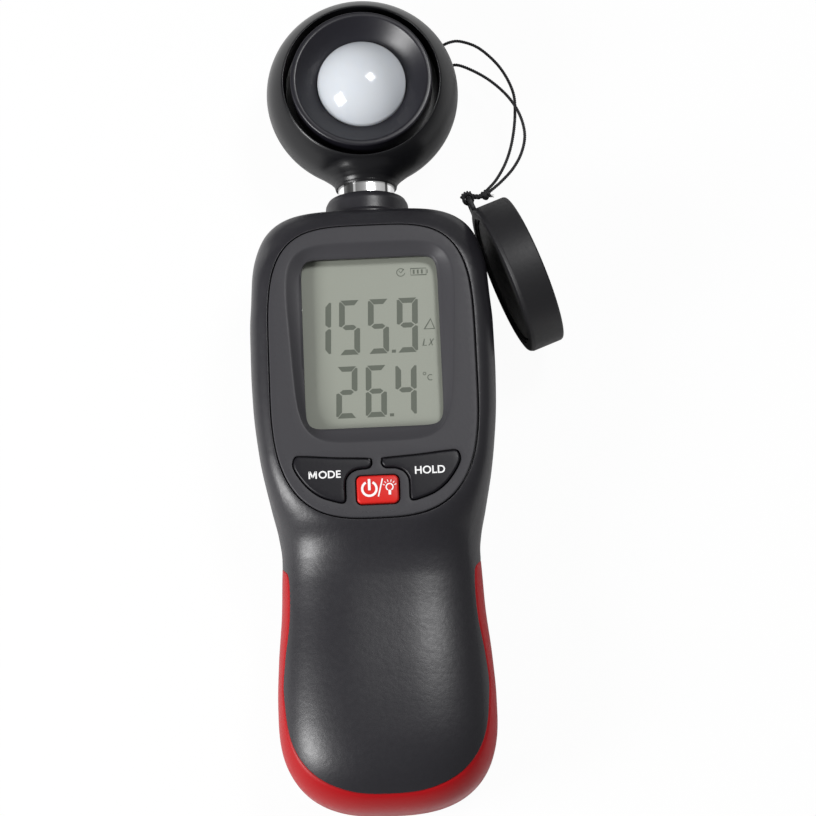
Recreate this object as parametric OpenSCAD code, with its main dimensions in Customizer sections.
// Handheld light meter with a swivelling domed sensor head, a tethered lens cap,
// a waisted handle that holds three AAA cells, and a recessed display.
// Millimetres. The meter lies on its back: +Y to the sensor head, +Z out of the
// display, origin at the mouth of the tripod socket on the rear face.

/* [Body] */
// Thickness of the display half of the body, rear face to front face
body_thickness = 29; // [28.6:0.1:30]
// Gap between neighbouring moulded parts
gap = 0.1; // [0.08:0.01:0.12]

/* [Keys] */
// How far the keys stand above the inset panel
key_rise = 0.35; // [0.2:0.05:0.6]
// Free travel of each key
key_travel = 0.8; // [0.6:0.05:0.8]

/* [Sensor head] */
// Equatorial radius of the ball-shaped head
head_r = 19.6; // [19.4:0.1:19.8]
// Half thickness of the head, front to back
head_half = 14.8; // [14.6:0.1:15]
// Rise of the diffuser dome above its rim
dome_rise = 4.8; // [4:0.2:6]
// Outer radius of the chrome swivel tube
tube_r = 5.7; // [5.6:0.05:5.75]

/* [Lens cap] */
// Depth of the lens cap
cap_depth = 7.05; // [6.5:0.05:7.3]

/* [Battery] */
// Radius of one AAA cell
cell_r = 5.2; // [5.1:0.05:5.25]

/* [Tripod socket] */
// Wall radius of the tripod socket
socket_r = 2.6; // [2.5:0.05:2.7]

/* [Hidden] */
seam_z = 15.5; // joint of the front and rear halves, also the height of the swivel axis
seam_gap = 0.05; // from the joint to each cover
face_z = body_thickness;
front_height = face_z - seam_z;
case_screw_at = [[18.4, 25.5], [-18.4, 25.5], [8.5, -73], [-8.5, -73]];

// ---- Helpers: numbers and loops of points ----

function mix(a, b, share) = a + (b - a) * max(0, min(1, share));
function power(v, e) = v <= 0 ? 0 : pow(v, e);

// smooth curve through a table of [y, value]
function segment(table, y, i = 0) =
    i >= len(table) - 2 || y >= table[i + 1][0] ? i : segment(table, y, i + 1);
function slope(table, i) = i <= 0 || i >= len(table) - 1 ? 0
    : (table[i + 1][1] - table[i - 1][1]) / (table[i + 1][0] - table[i - 1][0]);
function hermite(a, b, slope_a, slope_b, h, u) =
    (2*u*u*u - 3*u*u + 1)*a + (u*u*u - 2*u*u + u)*h*slope_a
    + (3*u*u - 2*u*u*u)*b + (u*u*u - u*u)*h*slope_b;
function smooth(table, y) =
    let(i = segment(table, y), a = table[i], b = table[i + 1], h = b[0] - a[0], u = (y - a[0]) / h)
    u <= 0 ? a[1] : hermite(a[1], b[1], slope(table, i), slope(table, i + 1), h, u);

// points reflected in x = 0, in reverse order
function flipped(points) =
    [for (i = [len(points) - 1:-1:0]) [-points[i][0], points[i][1]]];
// symmetric loop from its right half
function mirrored(half) = concat(half, flipped(half));
// the same for a half whose first and last points lie on x = 0
function closed(half) = concat(half, flipped([for (i = [1:len(half) - 2]) half[i]]));
// superellipse arc from the side at start_y to the middle at start_y + rise
function arc(half_width, start_y, rise, n, angles) = [for (a = angles)
    [half_width * power(cos(a), 2/n), start_y + rise * power(sin(a), 2/n)]];
// superellipse loop about [0, y]; its sides lean by taper
function superloop(a, b, n, y, taper = 0) = [for (j = [0:47])
    let(u = 360*j/48,
        dx = a * sign(cos(u)) * power(abs(cos(u)), 2/n),
        dy = b * sign(sin(u)) * power(abs(sin(u)), 2/n))
    [dx * (1 + taper*(dy - b)), y + dy]];
function scaled(points, centre, factor) = [for (p = points) centre + (p - centre) * factor];
// clockwise loop shrunk by d on every side
function shrunk(points, d) = let(n = len(points)) [for (i = [0:n - 1])
    let(a = points[i] - points[(i + n - 1) % n],
        b = points[(i + 1) % n] - points[i],
        u = [a[1], -a[0]] / norm(a),
        v = [b[1], -b[0]] / norm(b))
    points[i] + (u + v)*d/(1 + u*v)];
// rectangle about x = 0 with rounded corners
function rounded(half_width, y0, y1, r) = [for (q = [0:3], k = [0:5]) let(a = q*90 + k*18)
    [(q == 0 || q == 3 ? half_width - r : -half_width + r) + r*cos(a),
     (q < 2 ? y1 - r : y0 + r) + r*sin(a)]];
function reversed(triangles) = [for (t = triangles) [t[2], t[1], t[0]]];

// ---- Helpers: solids ----

module plate(points, z0, z1) {
    translate([0, 0, z0]) linear_extrude(z1 - z0) polygon(points);
}

// box from [low, high] on each axis
module slab(x, y, z) {
    translate([x[0], y[0], z[0]]) cube([x[1] - x[0], y[1] - y[0], z[1] - z[0]]);
}

module rod(at, z0, z1, r) {
    translate([at[0], at[1], z0]) cylinder(h = z1 - z0, r = r, $fn = 72);
}

// cylinder along Y
module along_y(y0, y1, r, z = seam_z) {
    translate([0, y1, z]) rotate([90, 0, 0]) cylinder(h = y1 - y0, r = r, $fn = 72);
}

// [radius, y] profile turned about the swivel axis
module turned_y(points) {
    translate([0, 0, seam_z]) rotate([-90, 0, 0]) rotate_extrude($fn = 96) polygon(points);
}

// [radius, z] profile turned about the sensor axis
module turned_z(points) {
    translate([0, head_y, 0]) rotate_extrude($fn = 96) polygon(points);
}

// solid between two loops of equal length
module frustum(a, za, b, zb, centre) {
    n = len(a);
    polyhedron(
        points = concat([for (p = a) [p[0], p[1], za]], [for (p = b) [p[0], p[1], zb]],
            [[centre[0], centre[1], za], [centre[0], centre[1], zb]]),
        faces = [for (i = [0:n - 1]) each let(j = (i + 1) % n)
            [[i, n + j, n + i], [i, j, n + j], [2*n, j, i], [2*n + 1, n + i, n + j]]],
        convexity = 4);
}

// round bar swept along a path; its cross-sections are set level with z
function bar_ring(p, direction, r, sides) =
    let(u = direction/norm(direction), s = cross(u, [0, 0, 1]), a = s/norm(s), b = cross(a, u))
    [for (k = [0:sides - 1]) p + r*cos(360*k/sides)*a + r*sin(360*k/sides)*b];
module bar(path, r, sides = 8) {
    n = len(path);
    polyhedron(
        points = [for (i = [0:n - 1])
            each bar_ring(path[i], path[min(n - 1, i + 1)] - path[max(0, i - 1)], r, sides)],
        faces = concat(
            [[for (k = [sides - 1:-1:0]) k]],
            [[for (k = [0:sides - 1]) (n - 1)*sides + k]],
            [for (i = [0:n - 2], k = [0:sides - 1])
                let(a = i*sides + k, b = i*sides + (k + 1) % sides)
                each [[a, b + sides, a + sides], [a, b, b + sides]]]),
        convexity = 8);
}

module torus(at, radius, bar_radius, facets) {
    translate(at) rotate_extrude($fn = facets) translate([radius, 0])
        circle(r = bar_radius, $fn = 16);
}

// ---- Body outline and skin ----

shoulder_y = 39.95;
end_y = -79.45;
shoulder_arc_y = 15;
shoulder_half_width = 23.6;
end_arc_y = -60;
end_half_width = 21.15;
// half width of the outline and height of the front above the seam, [y, value]
width_at = [[36, 24.1], [24, 23.6], [16, 24.05], [8, 24.1], [0, 23.9], [-10, 22.95],
    [-20, 21.05], [-30, 19.4], [-40, 19.85], [-50, 20.75], [-60, 21.15], [-70, 21.15]];
height_at = [[50, front_height], [-14, front_height], [-23, front_height - 0.1],
    [-28, front_height - 1.6], [-35, front_height - 2.95], [-45, front_height - 2.4],
    [-55, front_height - 1.6], [-66, front_height - 1.5], [-90, front_height - 1.5]];
// edge of the bumper trim as a share of the skin height, [y, share]
trim_front_at = [[0, 0.1], [-31.2, 0.1], [-32.4, 0.34], [-34, 0.5], [-38, 0.54], [-43, 0.54],
    [-50, 0.495], [-54.6, 0.475], [-59, 0.505], [-64.4, 0.556], [-69.7, 0.61], [-74, 0.647],
    [-78, 0.66], [-90, 0.66]];
trim_rear_at = [[0, 0.08], [-31.2, 0.08], [-33, 0.24], [-36, 0.38], [-42, 0.48], [-50, 0.52],
    [-90, 0.52]];
trim_from = -31;
trim_recess = 1.9;
trim_end_shift = -0.1; // moves both ends of the trim off the covers

side_y = [27, 22, 16, 9, 2, -5, -11, -16, -20, -24, -28, -30.9, -31.1, -32.4, -34.2, -37, -41,
    -46, -51, -56, -61];
// right side, from the shoulder's middle to the end of the handle
right_side = concat(
    [[0, shoulder_y]],
    arc(shoulder_half_width, shoulder_arc_y, shoulder_y - shoulder_arc_y, 4.2,
        [84, 76, 66, 55, 44, 34, 24]),
    [for (y = side_y) [smooth(width_at, y), y]],
    arc(end_half_width, end_arc_y, end_y - end_arc_y, 2.65, [10, 19, 29, 39, 49, 60, 71, 82]),
    [[0, end_y]]);
outline = closed(right_side);
half_count = len(right_side) - 1;
count = 2 * half_count;
// each outline point is drawn in toward its own point on the spine
spine = [for (p = outline) [0, max(-60, min(22, p[1]))]];
reach = [for (i = [0:count - 1]) norm(outline[i] - spine[i])];
// the trim covers the points from trim_first on the right to trim_last on the left
function first_trim(i = 0) = outline[i][1] < trim_from ? i : first_trim(i + 1);
trim_first = first_trim();
trim_last = count - trim_first;
function in_trim(i) = i >= trim_first && i <= trim_last;

// superellipse power of the skin's section, and the gain on its height
function skin_power(front, y) =
    front ? mix(6, 2.6, (-12 - y) / 16) - mix(0, 2.2, (y - 23) / 9) : 5;
function front_gain(y) = mix(1.03, 1, (-18 - y) / 10) + mix(0, 0.09, (y - 23) / 9);
// share of full height at a share of the way in, and its inverse
function bulge(share, n) = power(1 - power(1 - share, n), 1/n);
function inset_of(height, n) = 1 - power(1 - pow(height, n), 1/n);
// outline point i moved a share of the way to the spine and shift mm inward:
// inward() scales by both in turn, trimmed() by their sum
function inward(i, share, shift) =
    spine[i] + (outline[i] - spine[i]) * (1 - shift/reach[i]) * (1 - share);
function trimmed(i, share, shift) =
    spine[i] + (outline[i] - spine[i]) * (1 - share - shift/reach[i]);
// z of the skin at a share of its height; wall is taken off the full height
function skin_z(front, y, height, wall = 0) = front
    ? seam_z + (smooth(height_at, y) - wall) * min(1, height * front_gain(y))
    : seam_z - (seam_z - wall) * min(1, height * 1.05);
function off_seam(front, z) = front ? max(seam_z + seam_gap, z) : min(seam_z - seam_gap, z);

// steps up the skin from the rim: within the trim, outside above it, and inside
trim_steps = [0, 0.4, 0.75, 1];
outer_steps = [0, 0.015, 0.035, 0.07, 0.115, 0.18, 0.28, 0.45, 0.7, 1];
inner_shares = [0, 0.012, 0.05, 0.12, 0.25, 0.5, 0.82];
outer_last_share = 0.86;
trim_lip = 0.011; // share of height between the trim's edge and the full skin
front_wall = 3.4;
rear_wall = 2;

function outer_points(i, front) =
    let(y = outline[i][1],
        n = skin_power(front, y),
        trim = smooth(front ? trim_front_at : trim_rear_at, y),
        first_share = inset_of(trim + trim_lip, n))
    concat(
        [for (k = trim_steps)
            let(height = max(trim * k, 0.004),
                p = trimmed(i, inset_of(height, n), in_trim(i) ? trim_recess : 0))
            [p[0], p[1], off_seam(front, skin_z(front, p[1], height))]],
        [for (k = outer_steps)
            let(share = first_share + (outer_last_share - first_share) * k,
                p = inward(i, share, 0))
            [p[0], p[1], skin_z(front, p[1], bulge(share, n))]]);
function inner_points(i, front) =
    let(y = outline[i][1],
        n = skin_power(front, y),
        wall = front ? front_wall : rear_wall,
        side_wall = mix(2, 3.5, (-22 - y) / 8))
    [for (share = inner_shares)
        let(p = inward(i, share, side_wall))
        [p[0], p[1], off_seam(front, skin_z(front, p[1], bulge(share, n), wall))]];

// faces of one skin: bands round the outline and the lid across the last points,
// with K points for each outline point, from index base
function skin_faces(K, base) =
    let(last = function (i) base + (i % count)*K + K - 1)
    concat(
        [for (i = [0:count - 1], k = [0:K - 2])
            let(a = base + i*K + k, b = base + ((i + 1) % count)*K + k)
            each [[a, b + 1, b], [a, a + 1, b + 1]]],
        [for (i = [0:half_count - 1])
            each let(a = last(i), b = last(i + 1), c = last(count - i - 1), d = last(count - i))
            i == 0 ? [[a, b, c]] : i == half_count - 1 ? [[a, b, d]] : [[a, b, c], [a, c, d]]]);

module half_shell(front) {
    outer = [for (i = [0:count - 1]) each outer_points(i, front)];
    inner = [for (i = [0:count - 1]) each inner_points(i, front)];
    KA = len(trim_steps) + len(outer_steps);
    KB = len(inner_shares);
    start = len(outer);
    rim = [for (i = [0:count - 1])
        let(j = (i + 1) % count, a = i*KA, b = j*KA, c = start + i*KB, d = start + j*KB)
        each [[a, b, d], [a, d, c]]];
    faces = concat(skin_faces(KA, 0), reversed(skin_faces(KB, start)), rim);
    polyhedron(points = concat(outer, inner), faces = front ? faces : reversed(faces),
        convexity = 6);
}

// room for the neck bushing in both covers
bushing_r = 7.2;
flange_r = 8.35;
module neck_bore() {
    along_y(30, 50, bushing_r + gap);
    along_y(39.4, 50, flange_r + gap);
}

// ---- Inset panel, window and keys ----

panel_half_width = 20.05;
panel_half = concat(
    arc(panel_half_width, 8, 26.5, 3.8, [90, 83, 74, 63, 50, 36, 22]),
    [[panel_half_width * 0.998, 14], [panel_half_width, 3]],
    arc(panel_half_width, 3, -27.05, 3, [14, 24, 34, 45, 56, 67, 78, 90]));
panel_loop = closed(panel_half);
panel_centre = [0, 5];
window_loop = superloop(13.4, 17.15, 13, 11.1);
recess_loop = superloop(17.1, 20, 5.2, 10.9, 0.0036);

left_key = [[-16.2, -12.6], [-15.5, -11.5], [-13.5, -11.5], [-8, -12], [-1.6, -12.4],
    [-0.95, -12.9], [-0.85, -13.7], [-1.6, -14.5], [-3.6, -14.7], [-5, -15.3], [-5.9, -16.5],
    [-6.1, -18], [-6.1, -20.4], [-6.6, -21.1], [-8, -20.9], [-11, -19.8], [-13.3, -18.1],
    [-15, -16], [-16.1, -14]];
right_key = flipped(left_key);
power_key = rounded(4.1, -21.5, -15.9, 1);
// centres of the left, power and right keys
key_at = [[-8.5, -15.8], [0, -18.7], [8.5, -15.8]];
key_top = face_z + key_rise;
membrane_top = 20.7;
membrane_dome_top = 21.7;

// ---- Covers ----

board_post_x = [-13, 13];
board_post_y = [-17, 29];
hinge_x = [-9, 9];

// part of the battery door hinge, about the line of its axis
module hinge_pin(x, half_length, r) {
    translate([x - half_length, -22, 0.35]) rotate([0, 90, 0])
        cylinder(h = 2*half_length, r = r, $fn = 36);
}

module front_cover() color([0.24, 0.23, 0.25]) difference() {
    union() {
        half_shell(true);
        for (p = case_screw_at)
            rod(p, seam_z + seam_gap, p[1] > 0 ? face_z - 3.2 : 21.5, 2);
    }
    plate(scaled(panel_loop, panel_centre, 1 + gap/20), face_z - 1.9, face_z + 2);
    plate(scaled(panel_loop, panel_centre, 0.94), face_z - 5, face_z);
    neck_bore();
    for (p = case_screw_at) rod(p, seam_z - 1, 20.8, 1);
}

module rear_cover() color([0.22, 0.21, 0.23]) difference() {
    union() {
        half_shell(false);
        for (p = case_screw_at) rod(p, 2, seam_z - seam_gap, 2.4);
        rod([0, 0], 0.6, 9.4, 6.6);
        for (x = board_post_x, y = board_post_y) rod([x, y], 1.5, 17.9, 1.8);
        // end walls of the battery bay
        for (y = [[-70.9, -69.8], [-20.9, -19.9]]) slab([-15.8, 15.8], y, [1.2, 14.6]);
    }
    plate(rounded(15.9, -69, -22, 3), -1, 2.4);
    for (x = hinge_x) hinge_pin(x, 2.2, 0.4);
    neck_bore();
    rod([0, 0], -1, 9.5, 5.05);
    for (p = case_screw_at) {
        rod(p, -1, 20, 1.1);
        rod(p, -1, 3.2, 2.05);
    }
}

// heights round the trim's outer face, [share of skin height, is on the front]
function trim_levels(y) = concat(
    [for (k = [1, 0.92, 0.78, 0.55, 0.3, 0]) [smooth(trim_front_at, y) * k, true]],
    [for (k = [0.5, 0.85, 1]) [smooth(trim_rear_at, y) * k, false]]);
function trim_point(i, y, level, depth) =
    let(p = trimmed(i, inset_of(level[0], skin_power(level[1], y)), depth))
    [p[0], p[1] + y - outline[i][1], skin_z(level[1], p[1], level[0])];
function trim_cap(K, base) = [for (k = [0:K/2 - 2])
    let(a = base + k, b = base + K - 1 - k) each [[a, b, a + 1], [b, b - 1, a + 1]]];

// red bumper around the end of the handle
module bumper_trim() color([0.68, 0.13, 0.13]) {
    rings = [for (i = [trim_first:trim_last])
        let(y = outline[i][1] + (i == trim_first || i == trim_last ? trim_end_shift : 0),
            levels = trim_levels(y))
        concat(
            [for (v = levels) trim_point(i, y, v, 0)],
            [for (j = [len(levels) - 1:-1:0]) trim_point(i, y, levels[j], trim_recess - gap)])];
    K = len(rings[0]);
    last = len(rings) - 1;
    polyhedron(
        points = [for (ring = rings) each ring],
        faces = concat(
            [for (i = [0:last - 1], k = [0:K - 1])
                let(a = i*K + k, b = i*K + (k + 1) % K)
                each [[a, b, b + K], [a, b + K, a + K]]],
            trim_cap(K, 0),
            reversed(trim_cap(K, last*K))),
        convexity = 6);
}

module case_screws() color([0.55, 0.55, 0.57]) for (p = case_screw_at) difference() {
    union() {
        rod(p, 1.8, 3.15, 1.9);
        rod(p, 2.9, 20.5, 0.92);
    }
    // cross slot
    for (half = [[1.3, 0.25], [0.25, 1.3]])
        slab([p[0] - half[0], p[0] + half[0]], [p[1] - half[1], p[1] + half[1]], [1, 2.4]);
}

module tripod_insert() color([0.8, 0.65, 0.3]) difference() {
    rod([0, 0], 0, 8.9, 4.95);
    rod([0, 0], -1, 7.6, socket_r);
}

// ---- Display ----

module display_bezel() color([0.34, 0.34, 0.36]) difference() {
    plate(panel_loop, face_z - 1.85, face_z);
    frustum(recess_loop, face_z + 0.02, window_loop, face_z - 1.3, [0, 11]);
    plate(window_loop, face_z - 3, face_z - 1.2);
    for (hole = [left_key, right_key, scaled(power_key, key_at[1], 1.03)])
        plate(hole, face_z - 3, face_z + 1);
}

module lcd_lens() color([0.75, 0.78, 0.78, 0.35])
    plate(mirrored([[14.8, -8], [14.8, 28.4], [13.4, 30]]), face_z - 2.9, face_z - 1.95);

module lcd_panel() color([0.5, 0.51, 0.46]) {
    slab([-14.6, 14.6], [-7.4, 29.4], [face_z - 5.9, face_z - 4.7]);
    slab([-14, 14], [-6.4, 28.6], [face_z - 4.75, face_z - 3.6]);
}

module backlight_panel() color([0.86, 0.9, 0.86]) {
    slab([-13.8, 13.8], [-4.6, 26.6], [face_z - 7.6, face_z - 6.05]);
    slab([-6, 6], [26.5, 27.4], [face_z - 7.6, face_z - 6.9]);
}

board_z = [18, 19.55]; // rear and front faces of the board
on_board = 19.65; // rear of the parts in front of the board
under_board = 17.95; // front of the parts behind it

module lcd_frame() color([0.85, 0.85, 0.83]) difference() {
    union() {
        plate(mirrored([[16.2, -9], [16.2, 28.9], [14.9, 30.7]]), on_board, face_z - 4);
        plate(mirrored([[16.2, -9], [16.2, 27.2], [13, 30.7]]), face_z - 4.5, face_z - 3);
    }
    slab([-14.7, 14.7], [-7.5, 29.5], [face_z - 6, face_z]);
    slab([-13.9, 13.9], [-7.1, 29.1], [18, face_z]);
}

module zebra_strips() color([0.9, 0.55, 0.6])
    for (y = [[-6.8, -5.2], [27.6, 28.9]]) slab([-12.5, 12.5], y, [on_board, face_z - 5.95]);

// ---- Circuit board ----

module main_board() color([0.05, 0.32, 0.16]) difference() {
    plate(mirrored([[16.4, 30.9], [16.4, 22.5], [20.2, 22.4], [20.6, 14], [20.6, -4],
        [18.2, -16], [16, -24]]), board_z[0], board_z[1]);
    for (x = board_post_x, y = board_post_y) rod([x, y], 10, 30, 0.9);
}

module board_components() color([0.1, 0.1, 0.11]) {
    slab([-5, 5], [8, 18], [16.4, under_board]);
    slab([-15, -9], [2, 6], [16.9, under_board]);
    slab([9, 12.2], [-3, 2], [16.6, under_board]);
    slab([-3.2, 3.2], [-21, -18.6], [16.2, under_board]);
    for (i = [0:5]) slab([-14 + i*4.4, -12.8 + i*4.4], [-10, -8], [17.2, under_board]);
    rod([11, 10], 15, under_board, 2.6);
}

module thermistor() color([0.1, 0.1, 0.1]) {
    translate([18.6, -8, 20.6]) sphere(r = 1, $fn = 32);
    for (y = [-8.4, -7.6]) rod([18.6, y], 19.6, 20.4, 0.2);
}

module lead_connector() color([0.93, 0.93, 0.9]) slab([-3, 3], [22, 26], [14.2, under_board]);

module board_lead() color([0.15, 0.15, 0.16]) along_y(26.1, 30.6, 0.8);

// ---- Keys ----

module key_membrane() color([0.2, 0.2, 0.22]) {
    difference() {
        slab([-15.6, 15.6], [-22.2, -10.6], [19.6, membrane_top]);
        for (x = board_post_x) rod([x, board_post_y[0]], 18, 22, 1.6);
    }
    for (p = key_at) translate([p[0], p[1], membrane_top - 0.1])
        cylinder(h = membrane_dome_top - membrane_top + 0.1, r1 = 2.4, r2 = 1.6, $fn = 48);
}

// cap, wider flange behind the panel, and plunger above the membrane dome
module key(cap, flange, at, top = key_top) {
    plate(cap, face_z - 2.6, top);
    plate(flange, face_z - 3, face_z - 2.05);
    translate([at[0], at[1], membrane_dome_top + 0.05 + key_travel])
        cylinder(h = face_z - 3 - membrane_dome_top - key_travel, r = 1.7, $fn = 48);
}
module side_key(loop, at) {
    key(shrunk(loop, 0.2), shrunk(loop, -0.3), at);
}

module key_mode() color([0.19, 0.18, 0.21]) side_key(left_key, key_at[0]);
module key_hold() color([0.19, 0.18, 0.21]) side_key(right_key, key_at[2]);
module key_power() color([0.78, 0.2, 0.18])
    key(power_key, scaled(power_key, key_at[1], 1.1), key_at[1], key_top + 0.05);

// ---- Battery bay ----

cell_pitch = 10.45;
cell_z = 8.7;

module battery_door() color([0.22, 0.21, 0.23]) difference() {
    union() {
        plate(rounded(15.75, -68.85, -22.15, 2.9), 0.45, 2.3);
        plate(rounded(15.35, -68.45, -22.55, 2.5), 0, 0.5);
        for (x = hinge_x) {
            hinge_pin(x, 2, 0.3);
            slab([x - 2, x + 2], [-23.1, -22.25], [2, 3.35]);
            slab([x - 2, x + 2], [-22.3, -21.25], [2.55, 3.35]);
        }
    }
    // grooves in the outer face, shorter toward the hinge
    for (k = [0:4])
        slab([-6 + k*0.6, 6 - k*0.6], [-65.6 + k*1.5, -64.9 + k*1.5], [-1, 0.35]);
}

// children on each cell axis: +Z becomes +Y for the outer two, -Y for the middle one
module at_cells(outer_y, middle_y) {
    for (i = [-1:1]) translate([i*cell_pitch, i == 0 ? middle_y : outer_y, cell_z])
        rotate([i == 0 ? 90 : -90, 0, 0]) children();
}

module aaa_cells() color([0.25, 0.42, 0.6]) at_cells(-65.4, -25.2) {
    cylinder(h = 42.6, r = cell_r, $fn = 72);
    cylinder(h = 43.5, r = 1.9, $fn = 48);
}

module battery_springs() color([0.75, 0.75, 0.78]) at_cells(-69.2, -21.85)
    bar([for (k = [0:27]) let(a = k*40, r = 3.7 - k*0.06) [r*cos(a), r*sin(a), 0.5 + k*0.095]],
        0.3, 6);

module contact_pad(x, y, thickness) {
    translate([x, y, cell_z]) rotate([90, 0, 0]) cylinder(h = thickness, r = 1.8, $fn = 36);
}
module battery_contacts() color([0.8, 0.8, 0.82]) {
    for (x = [[-15, -6.2], [-4.8, 15]]) slab(x, [-69.75, -69.4], [5.8, 13.4]);
    for (x = [[-15, 4.8], [6.2, 15]]) slab(x, [-21.2, -20.95], [4.6, 13.4]);
    contact_pad(0, -68.7, 0.8);
    for (x = [-10.5, 10.5]) contact_pad(x, -21.1, 0.65);
}

// ---- Swivel neck ----

module neck_bushing() color([0.24, 0.23, 0.25]) {
    bore = tube_r + 0.06;
    turned_y([[bore, 35.4], [7.9, 35.4], [7.9, 36.4], [bushing_r, 36.4], [bushing_r, 39.5],
        [flange_r, 39.5], [flange_r, 42.4], [8.2, 43], [7.8, 43.5], [7.2, 43.75],
        [bore, 43.75]]);
    along_y(31.6, 35.45, 0.9, seam_z - 7.9);
}

module swivel_tube() color([0.85, 0.85, 0.87])
    turned_y([[4.3, 31.1], [tube_r, 31.1], [tube_r, 33.9], [5.1, 33.9], [5.1, 34.7],
        [tube_r, 34.7], [tube_r, 51], [4.3, 51]]);

module retaining_ring() color([0.4, 0.4, 0.42]) difference() {
    along_y(34, 34.6, 6.7);
    along_y(33, 36, 5.15);
    slab([-1.5, 1.5], [33, 36], [seam_z + 4, seam_z + 8]);
}

module wave_washer() color([0.7, 0.7, 0.72]) difference() {
    along_y(34.65, 35.3, 6.8);
    along_y(34, 36, tube_r + 0.2);
}

module swivel_stop() color([0.3, 0.3, 0.32]) {
    difference() {
        along_y(31.2, 33.2, 6.6);
        along_y(30, 35, tube_r + 0.02);
    }
    // lug on the front side of the ring
    intersection() {
        difference() {
            along_y(31.2, 33.2, 8.6);
            along_y(30, 35, 6.2);
        }
        translate([0, 35, seam_z]) rotate([90, 0, 0]) linear_extrude(5)
            polygon([[0, 0], [9, 13], [-9, 13]]);
    }
}

// ---- Sensor head ----

head_y = 66.8;
head_gap = 0.04; // from the seam to each half of the head
head_wall = 2;
opening_rise = 8.5; // front rim of the ball above the seam
flat_drop = 14; // rear flat of the ball below the seam
head_screw_at = [for (a = [90, 210, 330]) [13.2*cos(a), head_y + 13.2*sin(a)]];
cord_post = [14.5, 72.5];
// [radius, y] profile of the collar where the head meets the neck
collar = [[0, 46.3], [6.15, 46.3], [6.25, 46.8], [6.6, 47.5], [7.4, 48.3], [8.6, 49.2],
    [10.4, 50.4], [10.4, 53], [0, 53]];

// [radius, z] profile of the ball between two angles from its equator
function ball(from, to, n) = [for (i = [0:n]) let(a = from + (to - from)*i/n)
    [head_r*cos(a), seam_z + head_half*sin(a)]];

module collar_part(z) {
    intersection() {
        turned_y(collar);
        slab([-12, 12], [46, 54], z);
    }
}

module head_front() color([0.1, 0.1, 0.11]) difference() {
    union() {
        turned_z(concat(
            [[head_r - head_wall, seam_z + head_gap]],
            ball(0.16, asin(opening_rise / head_half), 14),
            [[15.75, seam_z + opening_rise], [15.75, 18.6], [12.4, 18.6], [12.4, 17.2],
                [17.3, 17.2]]));
        difference() {
            collar_part([seam_z + head_gap, 22.9]);
            rod([0, head_y], 10, 30, head_r - 3);
        }
        for (p = head_screw_at) rod(p, seam_z + head_gap, 17.25, 2.2);
    }
    along_y(40, 52, tube_r + 0.03);
    for (p = head_screw_at) rod(p, 15, 18.1, 0.9);
}

module head_rear() color([0.09, 0.09, 0.1]) difference() {
    union() {
        difference() {
            union() {
                turned_z(concat([[0, seam_z - flat_drop]],
                    ball(-asin(flat_drop / head_half), -0.16, 18), [[0, seam_z - head_gap]]));
                collar_part([0, seam_z - head_gap]);
            }
            turned_z(concat(
                [[0, seam_z + 1], [0, 3.6]],
                [for (a = [-68:6.8:0])
                    [(head_r - head_wall)*cos(a), seam_z + (head_half - 1.9)*sin(a)]],
                [[head_r - head_wall, seam_z + 1]]));
        }
        for (p = head_screw_at) rod(p, 7.2, seam_z - head_gap, 2.7);
        for (a = [30, 150, 270]) rod([8.4*cos(a), head_y + 8.4*sin(a)], 3, 12.5, 1.4);
        rod(cord_post, 3.6, 8.2, 0.85);
        rod(cord_post, 3, 3.8, 1.5);
    }
    along_y(40, 52, tube_r + 0.03);
    for (p = head_screw_at) {
        rod(p, 0, 20, 1.1);
        rod(p, -1, 8.4, 2);
    }
}

module baffle_ring() color([0.13, 0.13, 0.14])
    turned_z([[14.3, 18.7], [14.3, 24.9], [14.1, 25.1], [13.2, 25.1], [13, 24.9], [9.35, 21.9],
        [9.1, 21.6], [9.1, 18.7]]);

module diffuser_dome() color([0.92, 0.93, 0.94]) {
    rim_r = 8.95;
    sphere_r = (rim_r*rim_r + dome_rise*dome_rise) / (2*dome_rise);
    centre_z = 22.2 + dome_rise - sphere_r;
    inner_r = sphere_r - 1.3;
    rim_angle = asin(rim_r / sphere_r);
    turned_z(concat(
        [for (i = [0:12]) let(a = rim_angle*i/12) [sphere_r*sin(a), centre_z + sphere_r*cos(a)]],
        [[rim_r, 18.62], [11.8, 18.62], [11.8, 17.4], [7.6, 17.4], [7.6, 21.6]],
        [for (i = [10:-1:0]) let(a = rim_angle*0.85*i/11)
            [inner_r*sin(a), centre_z + inner_r*cos(a)]]));
}

module filter_glass() color([0.45, 0.65, 0.5, 0.5]) rod([0, head_y], 16, 16.9, 6.4);

module photodiode() color([0.25, 0.26, 0.3]) difference() {
    slab([-4, 4], [head_y - 4, head_y + 4], [14.25, 15.9]);
    slab([-3, 3], [head_y - 3, head_y + 3], [15.4, 16.5]);
}

module sensor_board() color([0.05, 0.32, 0.16]) rod([0, head_y], 12.6, 14.15, 10.2);

module head_screws() color([0.55, 0.55, 0.57]) for (p = head_screw_at) {
    rod(p, 7.1, 8.3, 1.85);
    rod(p, 8.2, 17.9, 0.82);
}

module head_lead() color([0.15, 0.15, 0.16]) {
    along_y(30.9, 59.2, 0.8);
    rod([0, 58.5], 14.2, 15.5, 0.5);
}

// ---- Lens cap and its cord ----

cap_tilt = 20.5;
cap_at = [26.3, 25.7, seam_z];
tab_reach = 17.5; // cap axis to the hole in its tab
tab_depth = 0.85; // cap's origin plane to the middle of the tab
tab_thickness = 1;
tab_hole = [cap_at[0] - tab_reach*sin(cap_tilt) + tab_depth*cos(cap_tilt),
    cap_at[1] + tab_reach*cos(cap_tilt) + tab_depth*sin(cap_tilt)];
knot = [tab_hole[0] + 3.2, tab_hole[1] + 1.8, seam_z];
cord_r = 0.33;
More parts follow.
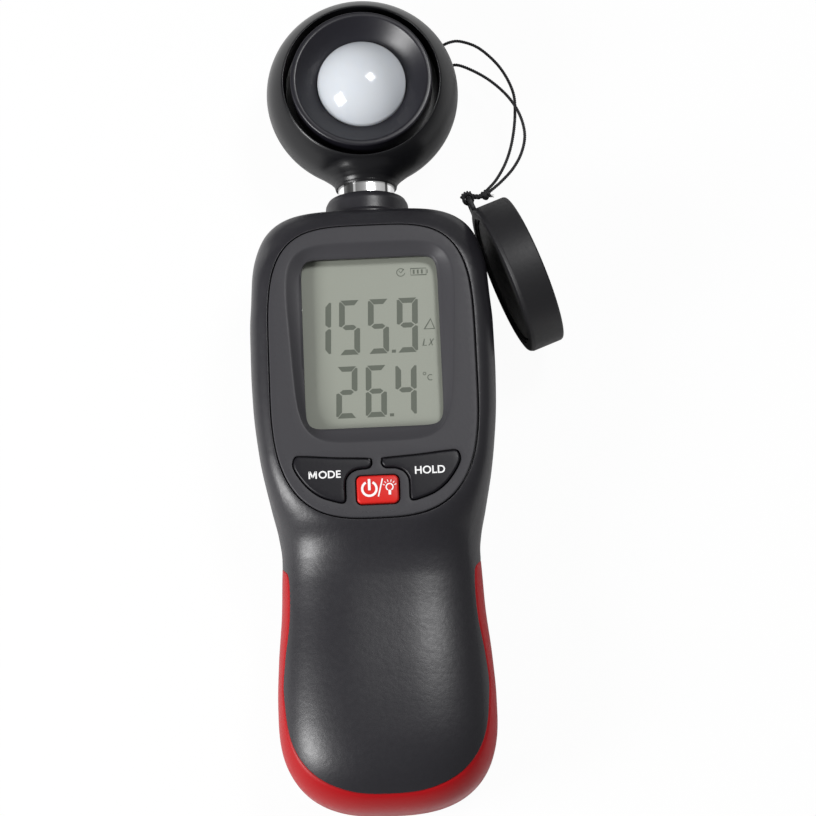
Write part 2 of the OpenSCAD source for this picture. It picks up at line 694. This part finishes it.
// the two strands from the post in the head to the knot
strands = [
    [[15.1, 73.7, 4.6], [15.6, 77.4, 5.2], [16.6, 80, 5.8], [18.7, 81.1, 6], [21.2, 81.1, 6.1],
     [24.9, 79.2, 6.3], [28.9, 74.6, 7], [31.2, 68.8, 8], [31.4, 63.5, 9.1], [30.5, 57.5, 10.5],
     [29, 52.4, 12.1], [26.7, 48, 13.7], knot + [0.15, 0.75, -0.25]],
    [[15.8, 72.5, 4.6], [17.3, 75, 5.2], [19.4, 76, 6.2], [22.6, 74.4, 7.3], [26.6, 71.2, 8.6],
     [30.1, 67.1, 9.9], [32.2, 62.6, 11], [33, 58, 12.1], [32.1, 53.8, 13], [30.2, 50.1, 13.9],
     [27.5, 47, 14.8], knot + [0.6, 0.4, -0.15]]];

module cap_cord() color([0.12, 0.12, 0.13]) {
    torus([cord_post[0], cord_post[1], 4.6], 1.32, cord_r, 36);
    for (path = strands) bar(path, cord_r);
    translate(knot) sphere(r = 0.95, $fn = 24);
    bar([knot + [-0.6, -0.25, 0.1],
        [tab_hole[0] + 1.8, tab_hole[1] + 1.45, seam_z + 0.15],
        [tab_hole[0] + 0.75, tab_hole[1] + 1.5, seam_z + 0.05]], 0.4);
    // ring through the tab
    torus([tab_hole[0] - 1.1*sin(cap_tilt), tab_hole[1] + 1.1*cos(cap_tilt), seam_z],
        1.1, cord_r, 40);
}

module lens_cap() color([0.15, 0.15, 0.16])
    translate(cap_at) rotate([0, 0, 180 + cap_tilt]) rotate([0, 90, 0]) difference() {
        union() {
            rotate_extrude($fn = 96) polygon([[0, -0.6], [13.1, -0.6], [13.4, 0], [14.7, 0],
                [15.3, -0.25], [15.5, -0.85], [15.5, -cap_depth + 0.2], [15.3, -cap_depth],
                [14.55, -cap_depth], [14.4, -cap_depth + 0.2], [14.4, -2.1], [14.1, -1.8],
                [0, -1.8]]);
            translate([0, -tab_reach, -tab_depth - tab_thickness/2]) {
                translate([-1.6, 0, 0]) cube([3.2, 3, tab_thickness]);
                cylinder(h = tab_thickness, r = 1.6, $fn = 60);
            }
        }
        translate([0, -tab_reach, -2]) cylinder(h = 3, r = 0.85, $fn = 48);
    }

front_cover();
rear_cover();
bumper_trim();
display_bezel();
lcd_lens();
lcd_panel();
backlight_panel();
lcd_frame();
zebra_strips();
main_board();
board_components();
thermistor();
key_membrane();
key_mode();
key_hold();
key_power();
battery_door();
aaa_cells();
battery_springs();
battery_contacts();
case_screws();
tripod_insert();
neck_bushing();
swivel_tube();
retaining_ring();
wave_washer();
swivel_stop();
head_front();
head_rear();
baffle_ring();
diffuser_dome();
filter_glass();
photodiode();
sensor_board();
head_screws();
head_lead();
board_lead();
lead_connector();
cap_cord();
lens_cap();
